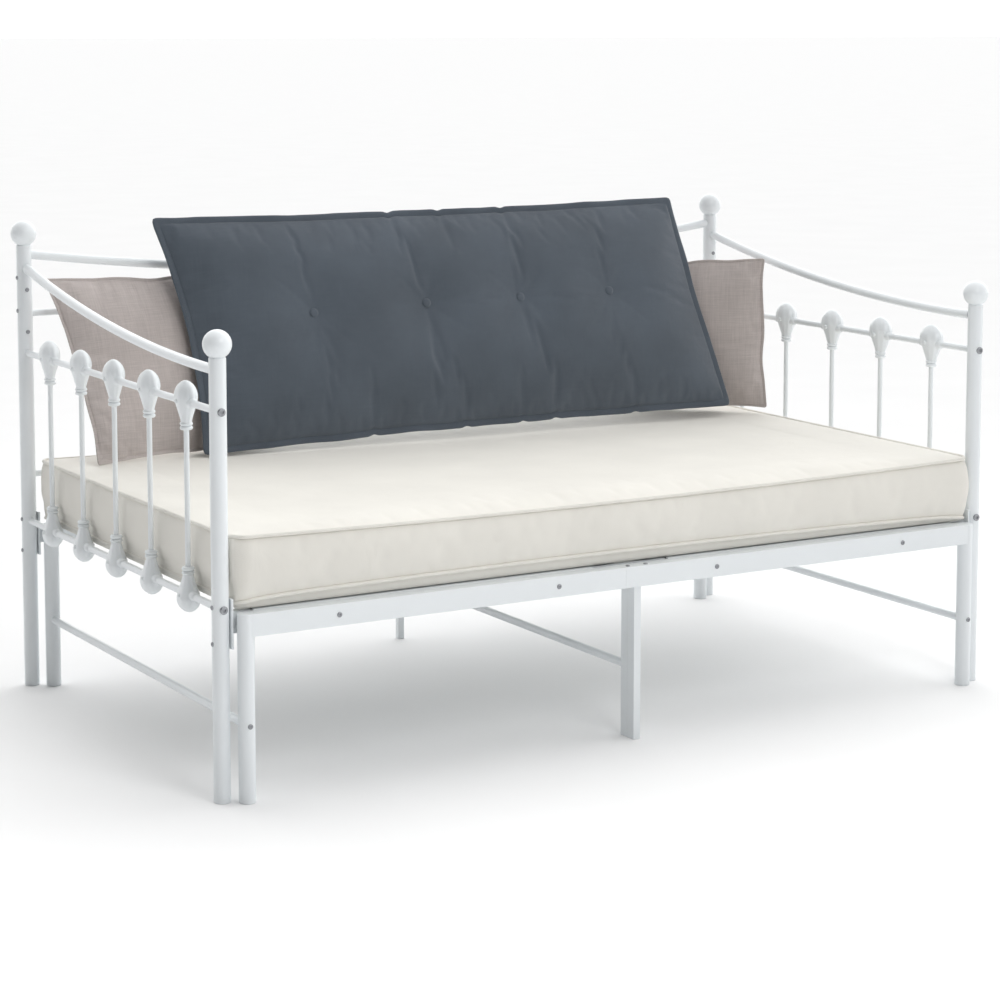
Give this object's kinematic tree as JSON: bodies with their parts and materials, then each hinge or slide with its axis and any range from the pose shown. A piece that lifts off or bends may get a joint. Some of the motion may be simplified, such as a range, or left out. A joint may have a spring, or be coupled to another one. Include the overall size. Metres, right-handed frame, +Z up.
{
  "type": "daybed",
  "caption": "White metal pull-out daybed with ball finials, cast spindles, mattress, long dark back cushion and two linen pillows.",
  "frame": {"origin": "centre of the daybed's footprint at floor level, with the sliding frame closed", "axes": "+Z up, +X along the length to the right as seen from the front, +Y to the back"},
  "size_m": [2.1108, 1.2247, 1.176],
  "materials": {
    "white_metal": "semi-gloss white powder coat",
    "mattress_fabric": "cream woven ticking with piped edges",
    "slate_fabric": "dark slate brushed cotton with flange and covered buttons",
    "greige_linen": "pinkish greige linen, open slubby weave",
    "bolt_steel": "dull zinc-plated bolt heads"
  },
  "bodies": {
    "frame": {"back_spindle_1": "white_metal", "back_spindle_2": "white_metal", "back_spindle_3": "white_metal", "back_spindle_4": "white_metal", "back_spindle_5": "white_metal", "back_spindle_6": "white_metal", "back_spindle_7": "white_metal", "back_spindle_8": "white_metal", "back_spindle_9": "white_metal", "fixed_front_deck_rail": "white_metal", "fixed_rear_deck_rail": "white_metal", "front_left_ball_finial": "white_metal", "front_left_post": "white_metal", "front_right_ball_finial": "white_metal", "front_right_post": "white_metal", "left_arm_rail": "white_metal", "left_fixed_slat_grid": "white_metal", "left_lower_side_rail": "white_metal", "left_spindle_1": "white_metal", "left_spindle_2": "white_metal", "left_spindle_3": "white_metal", "left_spindle_4": "white_metal", "left_spindle_5": "white_metal", "left_upper_side_rail": "white_metal", "lower_back_rail": "white_metal", "rear_left_ball_finial": "white_metal", "rear_left_post": "white_metal", "rear_right_ball_finial": "white_metal", "rear_right_post": "white_metal", "right_arm_rail": "white_metal", "right_fixed_slat_grid": "white_metal", "right_lower_side_rail": "white_metal", "right_spindle_1": "white_metal", "right_spindle_2": "white_metal", "right_spindle_3": "white_metal", "right_spindle_4": "white_metal", "right_spindle_5": "white_metal", "right_upper_side_rail": "white_metal", "top_back_rail": "white_metal", "upper_back_rail": "white_metal"},
    "pull_out": {"centre_leg_front_section": "white_metal", "centre_leg_rear_section": "white_metal", "centre_low_brace": "white_metal", "centre_rear_leg": "white_metal", "left_front_leg": "white_metal", "left_front_rail": "white_metal", "left_low_brace": "white_metal", "left_rear_leg": "white_metal", "left_sliding_slat_grid": "white_metal", "right_front_leg": "white_metal", "right_front_rail": "white_metal", "right_low_brace": "white_metal", "right_rear_leg": "white_metal", "right_sliding_slat_grid": "white_metal", "sliding_rear_rail": "white_metal"},
    "mattress": {"mattress": "mattress_fabric"},
    "back_cushion": {"back_cushion": "slate_fabric"},
    "left_pillow": {"left_pillow": "greige_linen"},
    "right_pillow": {"right_pillow": "greige_linen"}
  },
  "joints": [
    {"name": "pull_out_slide", "type": "slide", "parent": "frame", "child": "pull_out", "axis": [0, -1, 0], "range_m": [0, 0.95]},
    {"name": "mattress_lift", "type": "slide", "parent": "frame", "child": "mattress", "axis": [0, 0, 1], "range_m": [0, 0.2]},
    {"name": "back_cushion_lift", "type": "slide", "parent": "mattress", "child": "back_cushion", "axis": [0, 0, 1], "range_m": [0, 0.25]},
    {"name": "left_pillow_lift", "type": "slide", "parent": "mattress", "child": "left_pillow", "axis": [0, 0, 1], "range_m": [0, 0.035]},
    {"name": "right_pillow_lift", "type": "slide", "parent": "mattress", "child": "right_pillow", "axis": [0, 0, 1], "range_m": [0, 0.12]}
  ]
}
